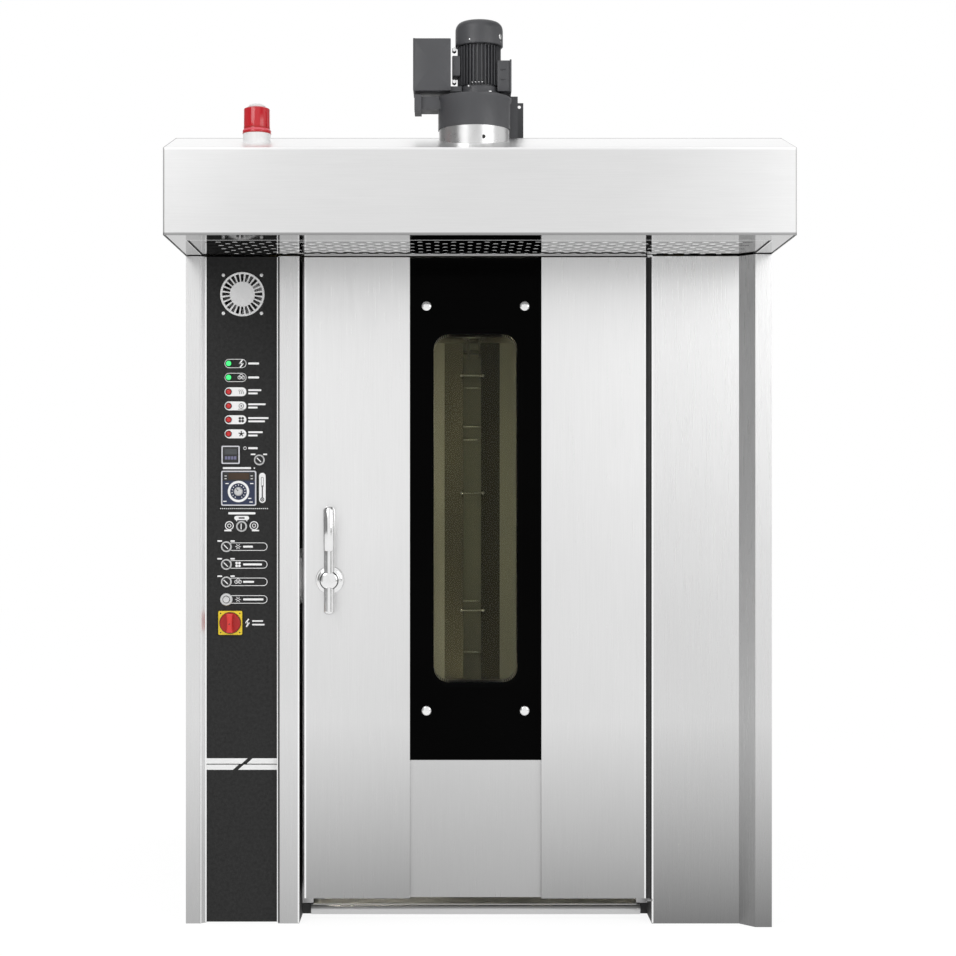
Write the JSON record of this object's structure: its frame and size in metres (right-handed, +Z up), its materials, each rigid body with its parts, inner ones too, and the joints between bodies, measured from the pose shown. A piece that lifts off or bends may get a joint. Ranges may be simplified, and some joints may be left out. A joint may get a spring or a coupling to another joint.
{
  "type": "rotating rack oven",
  "caption": "Free-standing rack oven with a steam hood, a windowed door with a turning handle, a control column, a roof exhaust blower and a turntable chamber.",
  "frame": {"origin": "centre of the bounding box, on the floor", "axes": "+Z up, +Y towards the back, the door faces -Y, +X to the right of someone facing the door"},
  "size_m": [1.604, 1.92, 2.417],
  "materials": {
    "brushed_steel": "brushed",
    "hood_steel": "brushed",
    "frame_steel": "matte",
    "mineral_wool": "matte",
    "motor_paint": "satin",
    "polished_steel": "polished",
    "lamp_glass": "clear",
    "steam_steel": "satin",
    "panel_black": "fine texture",
    "seal_rubber": "matte",
    "white_plastic": "satin",
    "red_lens": "gloss",
    "green_lens": "gloss",
    "blower_paint": "satin",
    "black_plastic": "satin",
    "navy_plastic": "satin",
    "selector_metal": "satin",
    "yellow_plastic": "satin",
    "red_plastic": "satin",
    "dark_glass": "clear with a black border",
    "clear_glass": "clear"
  },
  "bodies": {
    "oven": {"base_frame": "frame_steel", "floor_pan": "brushed_steel", "side_panels": "brushed_steel", "rear_panel": "brushed_steel", "roof_panel": "brushed_steel", "insulation": "mineral_wool", "chamber_shell": "brushed_steel", "chamber_liners": "brushed_steel", "air_louvres": "frame_steel", "heater_bank": "frame_steel", "circulation_motor": "motor_paint", "rotation_gearmotor": "motor_paint", "spindle_bearing": "polished_steel", "chamber_lamps": "lamp_glass", "steam_unit": "steam_steel", "control_column": "brushed_steel", "control_panel": "panel_black", "right_column": "brushed_steel", "door_jamb": "brushed_steel", "door_seal": "seal_rubber", "hood_shell": "hood_steel", "hood_filter": "hood_steel", "beacon_base": "white_plastic", "beacon_lens": "red_lens", "blower_collar": "brushed_steel", "blower_housing": "blower_paint", "blower_motor": "blower_paint", "motor_cowl": "blower_paint", "motor_boxes": "blower_paint", "outlet_ducts": "blower_paint", "vent_grille": "white_plastic", "status_lamps": "green_lens", "fault_lamps": "red_lens", "timer_module": "black_plastic", "temperature_controller": "navy_plastic", "selector_bezels": "selector_metal", "power_switch_plate": "yellow_plastic", "latch_keeper": "polished_steel"},
    "door": {"door_shell": "brushed_steel", "door_wings": "brushed_steel", "door_lower_panel": "brushed_steel", "outer_glass": "dark_glass", "inner_glass": "clear_glass", "glass_caps": "polished_steel", "handle_boss": "polished_steel"},
    "handle": {"handle_lever": "polished_steel"},
    "bolt": {"latch_bolt": "polished_steel"},
    "circulation_fan": {"circulation_impeller": "frame_steel"},
    "blower_wheel": {"blower_impeller": "blower_paint"},
    "cooling_fan": {"cooling_fan_rotor": "black_plastic"},
    "table": {"turntable": "brushed_steel"},
    "spindle": {"rack_spindle": "polished_steel"},
    "temperature_knob": {"temp_dial": "selector_metal"},
    "timer_selector": {"timer_knob": "selector_metal"},
    "fan_selector": {"fan_knob": "selector_metal"},
    "light_selector": {"light_knob": "selector_metal"},
    "mode_selector": {"mode_knob": "selector_metal"},
    "steam_selector": {"steam_knob": "selector_metal"},
    "alarm": {"alarm_button": "selector_metal"},
    "main_switch": {"power_handle": "red_plastic"}
  },
  "joints": [
    {"name": "door_swing", "type": "hinge", "parent": "oven", "child": "door", "pos_m": [0.471, -0.538, 0.9], "axis": [0, 0, 1], "range_deg": [0, 120]},
    {"name": "handle_turn", "type": "hinge", "parent": "door", "child": "handle", "pos_m": [-0.405, -0.584, 0.945], "axis": [0, 1, 0], "range_deg": [0, 90]},
    {"name": "bolt_slide", "type": "slide", "parent": "door", "child": "bolt", "axis": [-1, 0, 0], "range_m": [0, 0.022]},
    {"name": "circulation_fan_spin", "type": "hinge", "parent": "oven", "child": "circulation_fan", "pos_m": [0, 0.464, 1.8], "axis": [0, 0, 1], "continuous": true},
    {"name": "blower_spin", "type": "hinge", "parent": "oven", "child": "blower_wheel", "pos_m": [0.001, -0.774, 2.18], "axis": [0, 0, 1], "continuous": true},
    {"name": "cooling_fan_spin", "type": "hinge", "parent": "oven", "child": "cooling_fan", "pos_m": [-0.648, -0.516, 1.732], "axis": [0, 1, 0], "continuous": true},
    {"name": "turntable_spin", "type": "hinge", "parent": "oven", "child": "table", "pos_m": [0, 0.204, 0.035], "axis": [0, 0, 1], "continuous": true},
    {"name": "spindle_spin", "type": "hinge", "parent": "oven", "child": "spindle", "pos_m": [0, 0.204, 1.7], "axis": [0, 0, 1], "continuous": true},
    {"name": "temperature_turn", "type": "hinge", "parent": "oven", "child": "temperature_knob", "pos_m": [-0.658, -0.526, 1.188], "axis": [0, 1, 0], "range_deg": [0, 300]},
    {"name": "timer_turn", "type": "hinge", "parent": "oven", "child": "timer_selector", "pos_m": [-0.601, -0.526, 1.275], "axis": [0, 1, 0], "range_deg": [0, 90]},
    {"name": "fan_turn", "type": "hinge", "parent": "oven", "child": "fan_selector", "pos_m": [-0.65, -0.526, 1.092], "axis": [0, 1, 0], "range_deg": [-45, 45]},
    {"name": "light_turn", "type": "hinge", "parent": "oven", "child": "light_selector", "pos_m": [-0.692, -0.526, 1.036], "axis": [0, 1, 0], "range_deg": [0, 90]},
    {"name": "mode_turn", "type": "hinge", "parent": "oven", "child": "mode_selector", "pos_m": [-0.692, -0.526, 0.987], "axis": [0, 1, 0], "range_deg": [0, 90]},
    {"name": "steam_turn", "type": "hinge", "parent": "oven", "child": "steam_selector", "pos_m": [-0.692, -0.526, 0.939], "axis": [0, 1, 0], "range_deg": [0, 90]},
    {"name": "alarm_push", "type": "slide", "parent": "oven", "child": "alarm", "axis": [0, 1, 0], "range_m": [0, 0.004], "stiffness_N_per_m": 600},
    {"name": "main_switch_turn", "type": "hinge", "parent": "oven", "child": "main_switch", "pos_m": [-0.681, -0.526, 0.826], "axis": [0, 1, 0], "range_deg": [0, 90]}
  ],
  "couplings": [
    {"joint": "bolt_slide", "follows": "handle_turn", "m_per_rad": 0.014},
    {"joint": "spindle_spin", "follows": "turntable_spin", "ratio": 1}
  ]
}
